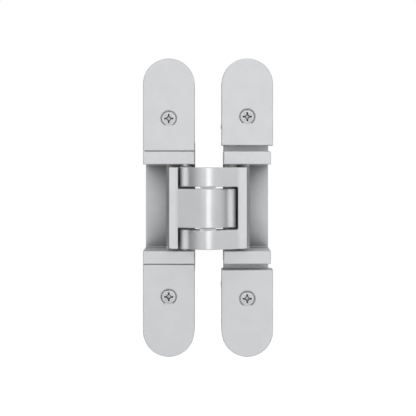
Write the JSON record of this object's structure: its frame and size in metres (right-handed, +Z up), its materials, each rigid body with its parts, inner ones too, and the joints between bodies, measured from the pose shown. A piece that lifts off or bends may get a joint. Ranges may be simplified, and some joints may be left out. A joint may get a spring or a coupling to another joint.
{
  "type": "concealed door hinge",
  "caption": "Concealed three-way adjustable door hinge: two bodies let into frame and leaf, joined by interlaced arms that fold into their pockets, with screwed cover caps.",
  "frame": {"origin": "middle of the box of the hinge opened to 180 degrees", "axes": "+Z up along the pins, +X from the leaf body to the frame body, +Y into the mortises"},
  "size_m": [0.0698, 0.0461, 0.16],
  "materials": {
    "cover": "satin silver coating",
    "casting": "satin silver coating on a fine cast skin",
    "arm": "finely polished satin silver",
    "steel": "ground steel",
    "screw": "bright zinc plated",
    "bush": "pale bearing polymer"
  },
  "bodies": {
    "frame_body": {"frame_housing": "casting", "frame_cover_upper": "cover", "frame_cover_lower": "cover", "frame_cover_screws": "screw", "frame_clamp_screws": "screw", "frame_clamp_plates": "steel"},
    "height_slide": {"frame_cross_slide": "steel"},
    "frame_carriage": {"frame_carriage": "casting", "frame_pivot_pin": "steel", "frame_pivot_sleeves": "bush"},
    "tongue_arm": {"tongue_arm": "arm", "tongue_pivot_bush": "bush", "centre_bush": "bush", "tongue_slide_pin": "steel", "tongue_slide_bushes": "bush"},
    "fork_arm": {"fork_arm": "arm", "centre_pin": "steel", "centre_washers": "bush", "fork_pivot_bushes": "bush", "fork_slide_pin": "steel", "fork_slide_bushes": "bush"},
    "leaf_carriage": {"leaf_carriage": "casting", "leaf_pivot_pins": "steel"},
    "leaf_body": {"leaf_housing": "casting", "leaf_cover_upper": "cover", "leaf_cover_lower": "cover", "leaf_cover_screws": "screw"},
    "upper_spindle": {"side_spindle_upper": "screw"},
    "lower_spindle": {"side_spindle_lower": "screw"}
  },
  "joints": [
    {"name": "height_adjust", "type": "slide", "parent": "frame_body", "child": "height_slide", "axis": [0, 0, 1], "range_m": [-0.003, 0.003]},
    {"name": "compression_adjust", "type": "slide", "parent": "height_slide", "child": "frame_carriage", "axis": [1, 0, 0], "range_m": [-0.001, 0.001]},
    {"name": "door_swing", "type": "hinge", "parent": "frame_carriage", "child": "tongue_arm", "pos_m": [0.0124, -0.00245, 0], "axis": [0, 0, 1], "range_deg": [0, 100.52]},
    {"name": "arm_cross", "type": "hinge", "parent": "tongue_arm", "child": "fork_arm", "pos_m": [0, -0.01445, 0], "axis": [0, 0, 1], "range_deg": [-21.05, 0]},
    {"name": "leaf_pivot", "type": "hinge", "parent": "fork_arm", "child": "leaf_carriage", "pos_m": [-0.0124, -0.00245, 0], "axis": [0, 0, 1], "range_deg": [0, 100.53]},
    {"name": "side_adjust", "type": "slide", "parent": "leaf_carriage", "child": "leaf_body", "axis": [0, 1, 0], "range_m": [-0.003, 0.003]},
    {"name": "upper_spindle_turn", "type": "hinge", "parent": "leaf_body", "child": "upper_spindle", "pos_m": [-0.02105, -0.00045, 0.0346], "axis": [0, 1, 0], "range_deg": [-1081, 1081]},
    {"name": "lower_spindle_turn", "type": "hinge", "parent": "leaf_body", "child": "lower_spindle", "pos_m": [-0.02105, -0.00045, -0.0346], "axis": [0, 1, 0], "range_deg": [-1081, 1081]}
  ],
  "couplings": [
    {"joint": "arm_cross", "follows": "door_swing", "ratio": -0.20936},
    {"joint": "leaf_pivot", "follows": "door_swing", "ratio": 1},
    {"joint": "upper_spindle_turn", "follows": "side_adjust", "rad_per_m": 6283.2},
    {"joint": "lower_spindle_turn", "follows": "side_adjust", "rad_per_m": 6283.2}
  ]
}
